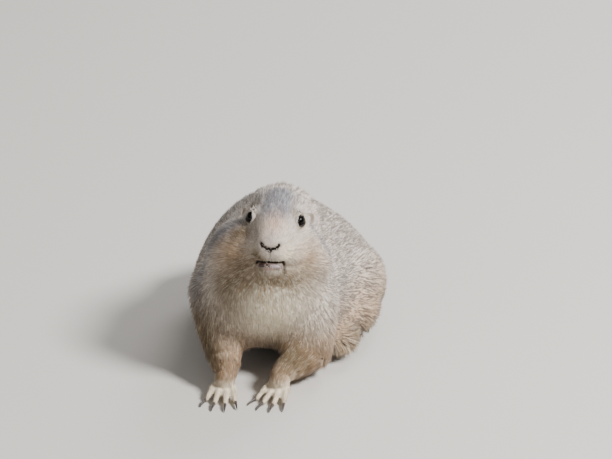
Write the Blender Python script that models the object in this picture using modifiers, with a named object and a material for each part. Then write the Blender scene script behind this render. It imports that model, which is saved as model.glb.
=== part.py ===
"""Prairie dog, life size, standing on all fours with its head raised to look at someone in front of it.

Metres, +Z up, the face towards -Y, the floor at z = 0. The animal's own right side is at -X.
The body is first one skin, blended from simple masses, and is then parted with thin cuts.
"""

import bmesh
import bpy
from math import cos, pi, radians, sin
from mathutils import Euler, Matrix, Vector

MM = 0.001

# Driving sizes
GAP = 0.32 * MM  # between nodes that touch
FLAT_ANGLE = 2.5  # degrees within which neighbouring faces are made one
NOSE_TIP = Vector((14.7, -3.0, 121.0)) * MM
HEAD_TURN = Euler((radians(-13), radians(2.5), radians(-6)))  # chin up, a little roll, a little turn
EYE_RADIUS = 5.4
EYE_PLACE = (16.4, 33.0, 14.2)  # the left eye's centre, from the nose tip in the head's axes
EYE_WAY = Vector((0.86, -0.47, 0.14)).normalized()  # where the left eye looks, in the head's axes
SOCKET_RADIUS = 6.4
LID_RING = (4.9, 4.1, 1.35)  # half width and half height of the eye's opening, thickness of the lid
EAR_PLACE = (24.0, 46.5, 14.5)
EAR_RADII = (5.6, 3.3, 8.4)
CLAW_FORE = 10.0
CLAW_HIND = 7.0
TAIL_LENGTH = 84 * MM

# How finely the skin is blended
CORE_STEP = 3.0 * MM
CORE_PASSES = 14
HEAD_STEP = 2.0 * MM
HEAD_PASSES = 8
SKIN_STEP = 1.1 * MM
SKIN_PASSES = 4
SKIN_TRIANGLES = 5950
FINE_STRENGTH = 1.5e-5  # how far the weights for fine places outdo the flatness of a place

# The spine's line on the floor plan, from the breast to the rump
SPINE_PLAN = ((2.0, 8.0), (12.5, 110.0), (51.5, 199.0))

# Trunk stations: share of the spine, half width, top, height where it is widest, bottom, fullness above
TRUNK = (
    (0.00, 14, 84, 68, 56, 2.0),
    (0.03, 30, 98, 66, 40, 2.0),
    (0.10, 46, 116, 60, 25, 1.9),
    (0.22, 56, 128, 50, 11, 1.8),
    (0.38, 61, 130, 42, 6, 1.72),
    (0.55, 65, 117, 33, 5, 1.6),
    (0.70, 70, 103, 26, 5, 1.5),
    (0.82, 68, 89, 25, 6, 1.6),
    (0.91, 56, 73, 26, 9, 1.8),
    (0.97, 39, 58, 28, 13, 2.0),
    (1.00, 18, 50, 34, 24, 2.0),
)
LOWER_FULLNESS = 2.6

# Head stations: way back from the nose tip, half width, top, bottom
SKULL = (
    (0.3, 5.4, 3.2, -6.5),
    (2.5, 9.6, 6.0, -12.5),
    (7, 13.0, 9.4, -16.0),
    (13, 15.0, 13.4, -17.5),
    (20, 17.0, 18.6, -20.0),
    (27, 19.2, 24.4, -23.0),
    (34, 21.4, 29.4, -25.5),
    (42, 24.2, 33.2, -27.5),
    (51, 27.4, 35.0, -29.0),
    (61, 30.0, 34.0, -29.5),
    (71, 31.0, 30.0, -28.5),
)


def start():
    """Clears the scene and makes the collections for the parts and for the shapes that cut them."""
    for old in list(bpy.data.objects):
        bpy.data.objects.remove(old)
    made = bpy.data.collections.new("prairie_dog")
    bpy.context.scene.collection.children.link(made)
    return made


PARTS = start()


def link(name, mesh):
    obj = bpy.data.objects.new(name, mesh)
    PARTS.objects.link(obj)
    return obj


def finish_name(name, colour, roughness):
    """A Principled material with a colour and a roughness."""
    made = bpy.data.materials.new(name)
    made.use_nodes = True
    shader = made.node_tree.nodes["Principled BSDF"]
    shader.inputs["Base Color"].default_value = (*colour, 1.0)
    shader.inputs["Roughness"].default_value = roughness
    return made


FUR = finish_name("grizzled_fur", (0.44, 0.37, 0.29), 0.85)
PALE_FUR = finish_name("pale_fur", (0.60, 0.52, 0.40), 0.85)
TAIL_FUR = finish_name("dark_tail_fur", (0.06, 0.05, 0.04), 0.85)
EYE = finish_name("dark_eye", (0.012, 0.009, 0.008), 0.08)
NOSE_SKIN = finish_name("nose_skin", (0.10, 0.08, 0.07), 0.55)
HORN = finish_name("claw_horn", (0.05, 0.045, 0.045), 0.35)


def head_at(x, y, z):
    """A point given from the nose tip in the head's own axes, in millimetres, as a place in the world."""
    return head_place(Vector((x, y, z)) * MM)


def head_place(point):
    return NOSE_TIP + HEAD_TURN.to_matrix() @ point


def to_world(point_mm):
    return Vector(point_mm) * MM


def mesh_from(bm, name):
    mesh = bpy.data.meshes.new(name)
    bm.normal_update()
    bm.to_mesh(mesh)
    bm.free()
    return mesh


# Shapes that the skin is blended from


def round_section(centre, right, up, half_width, rise, drop, count=36, fullness=(2.1, 2.1)):
    """A closed ring: half_width to each side, rise above the centre and drop below it.

    fullness is 2 for an oval and more for a squarer run, above the centre and below it.
    """
    ring = []
    for i in range(count):
        c, s = cos(2 * pi * i / count), sin(2 * pi * i / count)
        power = 2 / (fullness[0] if s > 0 else fullness[1])
        across = abs(c) ** power * (1 if c >= 0 else -1)
        height = rise * s**power if s > 0 else -drop * (-s) ** power
        ring.append(centre + right * across * half_width + up * height)
    return ring


def loft(bm, rings):
    """Skins a run of rings into one closed shell."""
    loops = [[bm.verts.new(p) for p in ring] for ring in rings]
    count = len(loops[0])
    for a, b in zip(loops, loops[1:]):
        for i in range(count):
            j = (i + 1) % count
            bm.faces.new((a[i], a[j], b[j], b[i]))
    bm.faces.new(loops[0][::-1])
    bm.faces.new(loops[-1])


def ball(bm, centre, radii, turn=None, segments=28, rings=18):
    """An ellipsoid, with its radii in millimetres."""
    place = Matrix.Translation(centre)
    if turn is not None:
        place = place @ turn.to_matrix().to_4x4()
    place = place @ Matrix.Diagonal((*(r * MM for r in radii), 1.0))
    bmesh.ops.create_uvsphere(bm, u_segments=segments, v_segments=rings, radius=1.0, matrix=place)


def head_ball(bm, x, y, z, radii, turn=None):
    own = HEAD_TURN.to_matrix()
    if turn is not None:
        own = own @ turn.to_matrix()
    ball(bm, head_at(x, y, z), radii, own.to_euler())


def limb(bm, points, radii, sides=20, flat=1.0):
    """A tapering round limb through points in millimetres, closed by half balls. flat squeezes it from top to bottom."""
    path = [to_world(p) for p in points]
    rings = []
    for i, p in enumerate(path):
        ahead = (path[min(i + 1, len(path) - 1)] - path[max(i - 1, 0)]).normalized()
        side = ahead.cross(Vector((0, 0, 1)))
        if side.length < 0.2:
            side = Vector((1, 0, 0))
        side.normalize()
        up = side.cross(ahead)
        reach = radii[i] * MM
        rings.append(round_section(p, side, up, reach, reach * flat, reach * flat, sides, (2, 2)))
    loft(bm, rings)
    for p, r in ((path[0], radii[0]), (path[-1], radii[-1])):
        ball(bm, p, (r, r, r * flat), segments=sides, rings=12)


def spine_at(t):
    """The place on the floor plan and the heading of the spine, at a share t of its run."""
    a, b, c = (Vector((*p, 0.0)) * MM for p in SPINE_PLAN)
    place = a * (1 - t) ** 2 + b * 2 * t * (1 - t) + c * t**2
    heading = (b - a) * (1 - t) + (c - b) * t
    return place, heading.normalized()


def smooth_table(rows, steps):
    """Reads a table of stations as a smooth curve through its rows, rounder than straight runs."""
    out = []
    last = len(rows) - 1
    for i in range(last):
        before, a, b, after = (rows[max(0, min(last, i + k))] for k in (-1, 0, 1, 2))
        for k in range(steps):
            u = k / steps
            out.append(
                tuple(
                    0.5
                    * (
                        2 * q
                        + (r - p) * u
                        + (2 * p - 5 * q + 4 * r - s) * u**2
                        + (3 * q - p - 3 * r + s) * u**3
                    )
                    for p, q, r, s in zip(before, a, b, after)
                )
            )
    out.append(rows[-1])
    return out


def add_trunk(bm):
    rings = []
    up = Vector((0, 0, 1))
    for t, half_width, top, middle, bottom, fullness in smooth_table(TRUNK, 3):
        place, heading = spine_at(t)
        side = Vector((heading.y, -heading.x, 0))
        centre = place + up * middle * MM
        sizes = (half_width * MM, (top - middle) * MM, (middle - bottom) * MM)
        rings.append(round_section(centre, side, up, *sizes, fullness=(fullness, LOWER_FULLNESS)))
    loft(bm, rings)


def add_neck(bm):
    """The thick neck and the ruff of fat under the jowls, from the head down to the breast."""
    head_ball(bm, 0, 70, 2, (33, 30, 33))
    head_ball(bm, 0, 60, -26, (44, 34, 26))
    ball(bm, to_world((12, 42, 92)), (47, 38, 36))
    ball(bm, to_world((11, 28, 72)), (43, 27, 36))
    ball(bm, to_world((12, 34, 54)), (34, 24, 26))
    for side in (-1, 1):
        head_ball(bm, side * 24, 50, -20, (20, 24, 19))  # jowl


def add_skull(bm):
    own = HEAD_TURN.to_matrix()
    right, up = own @ Vector((1, 0, 0)), own @ Vector((0, 0, 1))
    rings = []
    for back, half_width, top, bottom in smooth_table(SKULL, 2):
        middle = bottom + (top - bottom) * 0.45
        rings.append(
            round_section(
                head_at(0, back, middle),
                right,
                up,
                half_width * MM,
                (top - middle) * MM,
                (middle - bottom) * MM,
                fullness=(2.1, 2.3),
            )
        )
    loft(bm, rings)


def add_cheeks(bm):
    for side in (-1, 1):
        head_ball(bm, side * 19, 40, -8, (16, 22, 17))
        head_ball(bm, side * 14, 28, -8, (10, 18, 11))
    head_ball(bm, 0, 34, -23, (29, 23, 14))  # throat


def add_face(bm):
    """Lower jaw and lip, lip pads, the mounds that carry the lids, brows and ears."""
    head_ball(bm, 0, 12.5, -17.5, (8.6, 9.5, 8.5))
    head_ball(bm, 0, 7.2, -15.0, (6.8, 5.0, 2.4))  # lower lip
    x, y, z = EYE_PLACE
    for side in (-1, 1):
        head_ball(bm, side * 5.6, 8.0, -7.2, (6.6, 6.8, 5.6))  # lip pad
        inside = Vector(EYE_PLACE) - EYE_WAY * 2.1
        head_ball(bm, side * inside.x, inside.y, inside.z, [SOCKET_RADIUS] * 3)
        head_ball(bm, side * (x - 2.4), y + 1.5, z + 4.0, (4.0, 8.0, 3.6))  # brow
        head_ball(bm, side * EAR_PLACE[0], *EAR_PLACE[1:], EAR_RADII, ear_turn(side))


def ear_turn(side):
    """The ear leans back and out, its cup open forward and to the side."""
    return Euler((radians(-24), radians(side * 26), radians(side * 30)))


def near(point, places, reach, fall):
    """1 within reach of any of the places, falling to 0 over a further stretch, in millimetres."""
    away = min((point - p).length for p in places) / MM
    return max(0.0, min(1.0, 1 - (away - reach) / fall))


# Legs: the animal's right is at the picture's left. Places in millimetres, headings in degrees
ARMS = {
    "right": dict(
        shoulder=(-26, 44, 64), elbow=(-21, 29, 31), wrist=(-18.5, 3, 15), knuckles=(-20.5, -7, 7.2), heading=-7
    ),
    "left": dict(
        shoulder=(43, 40, 61), elbow=(44.5, 28, 23), wrist=(23, 1, 14.5), knuckles=(20, -8.5, 7.2), heading=-24
    ),
}
HINDS = {
    "right": dict(hip=(-14, 150, 38), knee=(-18, 112, 24), heel=(-11, 132), heading=4),
    "left": dict(hip=(77, 125, 30), knee=(78, 99, 22.5), heel=(84, 149), heading=-8),
}
FLANK_FOLD = (66, 69, 15.5)  # the loose fold of belly that hangs between the left elbow and knee

# A forefoot's toes, from the inner one out: spread in degrees, length, root offset across, as for the left foot
FORE_TOES = ((-16, 14.0, -7.0), (-5, 17.0, -2.4), (6, 16.5, 2.4), (18, 13.0, 7.0))
HIND_TOES = ((-15, 12.0, -8.0), (-6, 15.5, -4.2), (1, 16.5, 0.0), (8, 15.0, 4.2), (17, 11.0, 8.0))
TOE_RADIUS = 2.4
TOE_TIP_HEIGHT = 2.3


def add_upper_limbs(bm):
    for arm in ARMS.values():
        shoulder, elbow, wrist = (Vector(arm[k]) for k in ("shoulder", "elbow", "wrist"))
        limb(bm, (shoulder, shoulder.lerp(elbow, 0.55), elbow), (22, 20.5, 18.5))
        limb(bm, (elbow, elbow.lerp(wrist, 0.4), elbow.lerp(wrist, 0.7)), (18.5, 16.3, 11))
    lean = Euler((0, 0, radians(-14)))
    for hind in HINDS.values():
        ball(bm, to_world(hind["hip"]), (27, 41, 33), lean)
        ball(bm, to_world(hind["knee"]), (21.5, 31, 18), lean)
    ball(bm, to_world(FLANK_FOLD), (18, 27, 12.5))


def toe_line(root, heading_deg, length, drop_to):
    """A toe from its knuckle: level at first, then bending down to its tip, which stands at drop_to."""
    way = Vector((sin(radians(heading_deg)), -cos(radians(heading_deg)), 0))
    tip = root + way * length
    tip.z = drop_to
    bend = root + way * length * 0.45
    bend.z = root.z * 0.80 + drop_to * 0.20
    near = root + way * length * 0.76
    near.z = root.z * 0.34 + drop_to * 0.66
    return [root, bend, near, tip]


def fore_toes(name):
    """The lines of a forefoot's four toes, in millimetres."""
    arm = ARMS[name]
    knuckles, heading = Vector(arm["knuckles"]), arm["heading"]
    mirror = 1 if name == "left" else -1
    across = Vector((cos(radians(heading)), sin(radians(heading)), 0)) * mirror
    lines = []
    for spread, length, offset in FORE_TOES:
        root = knuckles + across * offset + Vector((0, abs(offset) * 0.18, 0))
        lines.append(toe_line(root, heading + spread * mirror, length, TOE_TIP_HEIGHT))
    return lines


def hind_foot_frame(name):
    """Heel and ball of the hind foot, its heading in degrees and its way across."""
    hind = HINDS[name]
    mirror = 1 if name == "left" else -1
    heading = radians(hind["heading"])
    way = Vector((sin(heading), -cos(heading), 0))
    across = Vector((cos(heading), sin(heading), 0)) * mirror
    heel = Vector((*hind["heel"], 6.2))
    ball_of_foot = heel + way * 31
    ball_of_foot.z = 5.4
    return heel, ball_of_foot, hind["heading"], across


def hind_toes(name):
    mirror = 1 if name == "left" else -1
    _, ball_of_foot, heading, across = hind_foot_frame(name)
    lines = []
    for spread, length, offset in HIND_TOES:
        root = ball_of_foot + across * offset + Vector((0, abs(offset) * 0.25, 0))
        lines.append(toe_line(root, heading + spread * mirror, length, TOE_TIP_HEIGHT))
    return lines


def add_feet(bm):
    for name, arm in ARMS.items():
        elbow, wrist, knuckles = (Vector(arm[k]) for k in ("elbow", "wrist", "knuckles"))
        heel = wrist.lerp(knuckles, 0.35)
        heel.z = 6
        limb(bm, (elbow.lerp(wrist, 0.5), wrist, wrist.lerp(knuckles, 0.6)), (13.4, 8.6, 7.6))
        turn = Euler((0, 0, radians(arm["heading"])))
        ball(bm, to_world(knuckles + Vector((0, 5, -1.8))), (9.6, 7.2, 5.6), turn)
        ball(bm, to_world(heel), (8.0, 7.0, 6.6), turn)
        for line in fore_toes(name):
            limb(bm, line, (TOE_RADIUS + 0.5, TOE_RADIUS, TOE_RADIUS * 0.95, TOE_RADIUS * 0.86), sides=14)
    for name in HINDS:
        heel, ball_of_foot, heading, _ = hind_foot_frame(name)
        limb(bm, (heel, heel.lerp(ball_of_foot, 0.5), ball_of_foot), (8.2, 8.4, 9.0), flat=0.72)
        ball(bm, to_world(ball_of_foot), (11.5, 8.0, 6.2), Euler((0, 0, radians(heading))))
        for line in hind_toes(name):
            limb(bm, line, (TOE_RADIUS + 0.5, TOE_RADIUS, TOE_RADIUS * 0.92, TOE_RADIUS * 0.84), sides=14)


def tail_line(steps=12):
    """The tail's centre line, from inside the rump, low behind the body, with its width there."""
    root, _ = spine_at(0.93)
    points = []
    for i in range(steps + 1):
        t = i / steps
        back = (t * (TAIL_LENGTH + 14 * MM)) / MM
        bend = Vector((2.0 - 13.0 * t * t, back, 0))
        height = 40 - 28 * (1 - (1 - t) ** 2)
        points.append(root / MM + bend + Vector((0, 0, height)))
    return points


def tail_width(t):
    """A furred tail: narrow at the root, fullest at two thirds, with a blunt brush for a tip."""
    swell = 7.6 + 5.4 * sin(pi * min(1.0, t * 1.12) ** 1.25)
    tip = max(0.0, (t - 0.80) / 0.20)
    return swell * (1 - 0.80 * tip**1.7)


def add_tail(bm):
    points = tail_line()
    count = len(points) - 1
    limb(bm, points, [tail_width(i / count) for i in range(count + 1)], sides=20, flat=0.66)


# From masses to one skin


def applied(obj, *modifiers):
    """Gives the object these modifiers, each a type and its settings, and makes their result its mesh."""
    for kind, settings in modifiers:
        modifier = obj.modifiers.new(kind.title(), kind)
        for key, value in settings.items():
            setattr(modifier, key, value)
    graph = bpy.context.evaluated_depsgraph_get()
    mesh = bpy.data.meshes.new_from_object(obj.evaluated_get(graph))
    obj.modifiers.clear()
    obj.data = mesh
    return obj


def blend(fills, base, step, passes):
    """Runs new masses into the base mesh: one closed skin, then smoothed."""
    bm = bmesh.new()
    if base is not None:
        bm.from_mesh(base.data)
        bpy.data.objects.remove(base)
    for fill in fills:
        fill(bm)
    made = link("skin", mesh_from(bm, "skin"))
    return applied(
        made,
        ("REMESH", dict(mode="VOXEL", voxel_size=step)),
        ("SMOOTH", dict(factor=0.5, iterations=passes)),
    )


def whole_skin():
    skin = blend((add_trunk, add_neck, add_upper_limbs), None, CORE_STEP, CORE_PASSES)
    skin = blend((add_skull, add_cheeks), skin, HEAD_STEP, HEAD_PASSES)
    skin = blend((add_face, add_feet, add_tail), skin, SKIN_STEP, SKIN_PASSES)
    keep_fine(skin)
    skin.data.calc_loop_triangles()
    share = SKIN_TRIANGLES / len(skin.data.loop_triangles)
    thinning = dict(ratio=share, vertex_group="fine", vertex_group_factor=FINE_STRENGTH, use_collapse_triangulate=True)
    return applied(skin, ("DECIMATE", thinning))


def keep_fine(skin):
    """Weights that keep small faces on the face, the ears and the feet when the skin is thinned."""
    group = skin.vertex_groups.new(name="fine")
    spots = [head_at(side * p[0], p[1], p[2]) for p in (EYE_PLACE, EAR_PLACE) for side in (-1, 1)]
    muzzle = [head_at(0, 6, -9)]
    for v in skin.data.vertices:
        foot = max(0.0, 1 - max(0.0, v.co.z / MM - 10) / 12) if v.co.y < 0.15 else 0.0
        worth = max(near(v.co, spots, 10, 22), near(v.co, muzzle, 13, 34), 0.75 * foot)
        group.add([v.index], 1.0 - (0.15 + 0.77 * worth), "REPLACE")


def largest_only(mesh):
    """Leaves only the mesh's largest closed surface."""
    bm = bmesh.new()
    bm.from_mesh(mesh)
    left = set(bm.verts)
    shells = []
    while left:
        shell, edge = set(), [next(iter(left))]
        while edge:
            v = edge.pop()
            if v in shell:
                continue
            shell.add(v)
            edge.extend(e.other_vert(v) for e in v.link_edges)
        left -= shell
        shells.append(shell)
    if len(shells) > 1:
        shells.sort(key=shell_size)
        for shell in shells[:-1]:
            bmesh.ops.delete(bm, geom=list(shell), context="VERTS")
    bmesh.ops.triangulate(bm, faces=bm.faces)
    bm.to_mesh(mesh)
    bm.free()


def shell_size(shell):
    """The volume of the box around a shell's points."""
    spans = [max(v.co[k] for v in shell) - min(v.co[k] for v in shell) for k in range(3)]
    return spans[0] * spans[1] * spans[2]


def boolean(obj, other, operation):
    """obj cut or joined by another mesh object, by the solver that stays quick on a fine skin."""
    applied(obj, ("BOOLEAN", dict(object=other, operation=operation, solver="MANIFOLD")))
    largest_only(obj.data)
    return obj


def cutter(shape):
    """A cutting shape from a function that fills a bmesh."""
    bm = bmesh.new()
    shape(bm)
    obj = link("cutter", mesh_from(bm, "cutter"))
    obj.hide_render = True
    return obj


def box_region(centre_mm, halves_mm, turn=None):
    """A box to cut with: a function of how far it is grown on every side, in metres."""

    def grown(grow):
        def fill(bm):
            place = Matrix.Translation(to_world(centre_mm))
            if turn is not None:
                place = place @ turn.to_matrix().to_4x4()
            sides = [2 * (h * MM + grow) for h in halves_mm]
            bmesh.ops.create_cube(bm, size=1.0, matrix=place @ Matrix.Diagonal((*sides, 1.0)))

        return fill

    return grown


def ball_region(centre_mm, radii_mm, turn=None, segments=14):
    """An ellipsoid to cut with."""

    def grown(grow):
        radii = [r + grow / MM for r in radii_mm]
        return lambda bm: ball(bm, to_world(centre_mm), radii, turn, segments, segments // 2 + 1)

    return grown


def bar_region(centre_mm, halves_mm, turn, fullness):
    """A bar along its own Y axis to cut with, its section a box with round corners."""

    def grown(grow):
        def fill(bm):
            own = turn.to_matrix()
            wide, long, tall = (h * MM + grow for h in halves_mm)
            middle, right, up = to_world(centre_mm), own @ Vector((1, 0, 0)), own @ Vector((0, 0, 1))
            along = own @ Vector((0, long, 0))
            ends = (middle - along, middle + along)
            full = (fullness, fullness)
            loft(bm, [round_section(end, right, up, wide, tall, tall, 20, full) for end in ends])
            bmesh.ops.recalc_face_normals(bm, faces=bm.faces)

        return fill

    return grown


def head_mm(x, y, z):
    return head_at(x, y, z) / MM


def take(body, name, region, material):
    """Parts a piece off: the piece keeps what lies in the region, the body loses it and the gap round it."""
    piece = link(name, body.data.copy())
    inner, outer = cutter(region(-GAP / 2)), cutter(region(GAP / 2))
    boolean(piece, inner, "INTERSECT")
    boolean(body, outer, "DIFFERENCE")
    for tool in (inner, outer):
        bpy.data.objects.remove(tool)
    dress(piece, material)
    return piece


def carve(body, region, operation="DIFFERENCE"):
    tool = cutter(region(0.0))
    boolean(body, tool, operation)
    bpy.data.objects.remove(tool)


def merge_flats(obj):
    """Joins faces that lie all but level with each other, then splits the result into triangles."""
    bm = bmesh.new()
    bm.from_mesh(obj.data)
    bmesh.ops.dissolve_limit(bm, angle_limit=radians(FLAT_ANGLE), verts=bm.verts, edges=bm.edges)
    bmesh.ops.triangulate(bm, faces=bm.faces)
    bm.to_mesh(obj.data)
    bm.free()


def dress(obj, material, angle=50):
    obj.data.materials.clear()
    obj.data.materials.append(material)
    obj.data.shade_smooth()
    obj.data.set_sharp_from_angle(angle=radians(angle))


def facing(way):
    """The turn that points a shape's own Y axis along a heading."""
    return Vector(way).to_track_quat("Y", "Z").to_euler()


# The nodes


def part_forelegs(body):
    for name, arm in ARMS.items():
        shoulder, elbow, wrist = (Vector(arm[k]) for k in ("shoulder", "elbow", "wrist"))
        way = (wrist - elbow).normalized()
        cut = wrist - way * 1.5
        foot = take(body, f"forefoot_{name}", box_region(cut + way * 25, (17, 25, 24), facing(way)), PALE_FUR)
        toe_number = 0
        for line in fore_toes(name):
            toe_number += 1
            add_claw(foot, f"claw_fore_{name}_{toe_number}", line, CLAW_FORE, 1.45)
        turn = facing(wrist - elbow)
        middle = elbow.lerp(wrist, 0.52)
        take(body, f"forearm_{name}", ball_region(middle, (21, 19, 19), turn), PALE_FUR)
        out = Vector((-6 if name == "right" else 6, 0, 0))
        middle = shoulder.lerp(elbow, 0.45) + out
        take(body, f"upper_arm_{name}", ball_region(middle, (19, 27, 36)), FUR)


def part_hindlegs(body):
    for name, hind in HINDS.items():
        heel, ball_of_foot, heading, _ = hind_foot_frame(name)
        turn = Euler((0, 0, radians(heading)))
        middle = heel.lerp(ball_of_foot, 0.75)
        region = box_region((middle.x, middle.y, 4.6), (17, 38, 5.6), turn)
        foot = take(body, f"hind_foot_{name}", region, PALE_FUR)
        toe_number = 0
        for line in hind_toes(name):
            toe_number += 1
            add_claw(foot, f"claw_hind_{name}_{toe_number}", line, CLAW_HIND, 1.35)
        hip, knee = Vector(hind["hip"]), Vector(hind["knee"])
        lean = Euler((0, 0, radians(-14)))
        shank = knee.lerp(heel, 0.45)
        shank.z = 19
        take(body, f"shank_{name}", ball_region(shank, (22, 34, 14), lean), FUR)
        take(body, f"thigh_{name}", ball_region(hip.lerp(knee, 0.28), (31, 45, 40), lean), FUR)


def add_claw(foot, name, line, length, root_radius):
    """Squares off the toe's end and sets a curved claw just before it."""
    tip, before = Vector(line[-1]), Vector(line[-2])
    way = tip - before
    way.z = 0
    way.normalize()
    end = tip + way * 0.9
    carve(foot, box_region(end + way * 5, (4.5, 5, 6), facing(way)))
    bm = bmesh.new()
    rings = []
    side = way.cross(Vector((0, 0, 1))).normalized()
    drop = end.z + 0.5 - 0.55
    start_at = end + way * (GAP / MM) + Vector((0, 0, 0.5))
    for i in range(6):
        t = i / 5
        place = start_at + way * length * 0.92 * sin(t * 1.35) / sin(1.35)
        place = place - Vector((0, 0, drop * t**1.7))
        slope = Vector((way.x, way.y, -1.7 * drop / length * t**0.7 * 0.9)).normalized()
        up = side.cross(slope)
        radius = root_radius * (1 - t) ** 0.8 + 0.16
        if i == 0:
            up = Vector((0, 0, 1))
        ring = round_section(to_world(place), side, up, radius * 0.74 * MM, radius * MM, radius * MM, 8)
        rings.append(ring)
    loft(bm, rings)
    bmesh.ops.recalc_face_normals(bm, faces=bm.faces)
    claw = link(name, mesh_from(bm, name))
    dress(claw, HORN)


def part_tail(body):
    points = tail_line()
    base, middle, tip = points[2], points[7], points[-1]
    way = (tip - base).normalized()
    take(body, "tail_tip", box_region(middle + way * 40, (30, 40, 30), facing(way)), TAIL_FUR)
    way = (points[4] - base).normalized()
    take(body, "tail_base", box_region(base + way * 40, (26, 40, 22), facing(way)), FUR)


def part_head(body):
    slope = (HEAD_TURN.to_matrix() @ Euler((radians(9), 0, 0)).to_matrix()).to_euler()
    head = take(body, "head", box_region(head_mm(0, 22, 10), (70, 42, 42), slope), FUR)
    jaw = bar_region(head_mm(0, 8, -19.4), (9.2, 16, 6.8), HEAD_TURN, 4)
    take(head, "lower_jaw", jaw, PALE_FUR)
    carve(head, bar_region(head_mm(0, 1.5, -12.6), (8.4, 5.0, 0.9), HEAD_TURN, 3))  # the parted lips
    nose = take(head, "nose", ball_region(head_mm(0, 0.4, -1.2), (6.3, 4.8, 5.2), HEAD_TURN, 16), NOSE_SKIN)
    x, y, z = EYE_PLACE
    for side, name in ((-1, "right"), (1, "left")):
        own = (HEAD_TURN.to_matrix() @ Euler((0, radians(-38 * side), 0)).to_matrix()).to_euler()
        carve(nose, ball_region(head_mm(side * 3.5, -0.6, -2.6), (2.5, 3.0, 0.8), own, 8))
        centre = head_mm(side * x, y, z)
        carve(head, lid_ring(side), "UNION")
        carve(head, ball_region(centre, [EYE_RADIUS + GAP / MM] * 3, HEAD_TURN, 14))
        bm = bmesh.new()
        ball(bm, to_world(centre), [EYE_RADIUS] * 3, HEAD_TURN, 14, 8)
        dress(link(f"eye_{name}", mesh_from(bm, "eye")), EYE)
        own = (HEAD_TURN.to_matrix() @ ear_turn(side).to_matrix()).to_euler()
        x_ear, y_ear, z_ear = EAR_PLACE
        region = ball_region(head_mm(side * (x_ear + 3.2), y_ear, z_ear + 1.5), (7.0, 6.5, 10.5), own, 12)
        ear = take(head, f"ear_{name}", region, FUR)
        cup = ball_region(head_mm(side * (x_ear + 1.4), y_ear - 3.0, z_ear + 1.0), (3.3, 3.0, 5.6), own, 12)
        carve(ear, cup)


def lid_ring(side):
    """The two lids as one thick ring round the eye's opening."""
    wide, tall, thick = LID_RING
    way = Vector((side * EYE_WAY.x, EYE_WAY.y, EYE_WAY.z))
    across = way.cross(Vector((0, 0, 1))).normalized()
    up = across.cross(way)
    centre = Vector((side * EYE_PLACE[0], *EYE_PLACE[1:])) + way * 3.0

    def grown(grow):
        def fill(bm):
            rings = []
            for i in range(18):
                turn = 2 * pi * i / 18
                out = (across * cos(turn) + up * sin(turn)).normalized()
                spot = centre + across * wide * cos(turn) + up * tall * sin(turn)
                ring = [spot + (out * cos(a) + way * sin(a)) * thick for a in (2 * pi * k / 6 for k in range(6))]
                rings.append([bm.verts.new(head_place(p * MM)) for p in ring])
            for a, b in zip(rings, rings[1:] + rings[:1]):
                for k in range(6):
                    m = (k + 1) % 6
                    bm.faces.new((a[k], a[m], b[m], b[k]))
            bmesh.ops.recalc_face_normals(bm, faces=bm.faces)

        return fill

    return grown


def part_trunk(body):
    neck = box_region((12, 30, 118), (90, 48, 36), Euler((radians(-20), 0, 0)))
    take(body, "neck", neck, FUR)
    for share, name, back in ((0.34, "chest", False), (0.76, "rump", True)):
        place, heading = spine_at(share)
        way = heading if back else -heading
        middle = place / MM + way * 90 + Vector((0, 0, 60))
        take(body, name, box_region(middle, (120, 90, 100), facing(way)), PALE_FUR if name == "chest" else FUR)
    body.name = "abdomen"


def set_on_origin():
    """Moves the whole animal so that the middle of its box stands over the origin."""
    parts = list(PARTS.objects)
    for obj in parts:
        if not obj.name.startswith(("claw", "eye")):
            merge_flats(obj)
    low, high = (
        Vector([pick(v.co[k] for obj in parts for v in obj.data.vertices) for k in range(3)]) for pick in (min, max)
    )
    away = Vector(((low.x + high.x) / 2, (low.y + high.y) / 2, low.z))
    for obj in parts:
        obj.data.transform(Matrix.Translation(-away))


def main():
    body = whole_skin()
    carve(body, box_region((30, 100, -20), (300, 300, 20)))
    dress(body, FUR)
    part_head(body)
    part_forelegs(body)
    part_hindlegs(body)
    part_tail(body)
    part_trunk(body)
    set_on_origin()


main()
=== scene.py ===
"""The looks of a prairie dog that stands low on its four feet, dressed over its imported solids."""

from math import cos, pi, radians, sin

import bmesh
import bpy
import numpy as np
from mathutils import Euler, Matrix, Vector
from mathutils.kdtree import KDTree


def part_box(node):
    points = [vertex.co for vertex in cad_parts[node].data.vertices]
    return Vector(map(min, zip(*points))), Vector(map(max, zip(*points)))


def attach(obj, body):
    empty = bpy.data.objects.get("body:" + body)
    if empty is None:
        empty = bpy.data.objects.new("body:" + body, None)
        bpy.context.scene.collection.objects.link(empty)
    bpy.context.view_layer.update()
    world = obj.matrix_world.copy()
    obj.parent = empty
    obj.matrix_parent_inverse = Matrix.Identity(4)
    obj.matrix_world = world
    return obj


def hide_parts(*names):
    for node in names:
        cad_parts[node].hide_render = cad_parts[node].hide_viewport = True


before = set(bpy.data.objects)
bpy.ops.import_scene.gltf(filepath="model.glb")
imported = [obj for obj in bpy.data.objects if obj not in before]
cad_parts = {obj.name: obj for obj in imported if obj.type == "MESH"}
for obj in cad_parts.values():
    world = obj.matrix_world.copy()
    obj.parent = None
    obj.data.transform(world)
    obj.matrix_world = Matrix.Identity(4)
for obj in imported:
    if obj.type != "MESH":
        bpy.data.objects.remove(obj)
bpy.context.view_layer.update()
MM = 0.001
DENSITY = 1.0

# The body's own axes are those of the solids, in millimetres from the floor between the forefeet
EYE_LEFT = np.array((34.968, 30.413, 126.691))
NOSE = np.array((14.7, -3.0, 121.0))
HEAD = np.array(Euler((radians(-13), radians(2.5), radians(-6))).to_matrix())
low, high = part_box("eye_left")
ORIGIN = (np.array(low) + np.array(high)) / 2 - EYE_LEFT * MM

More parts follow.
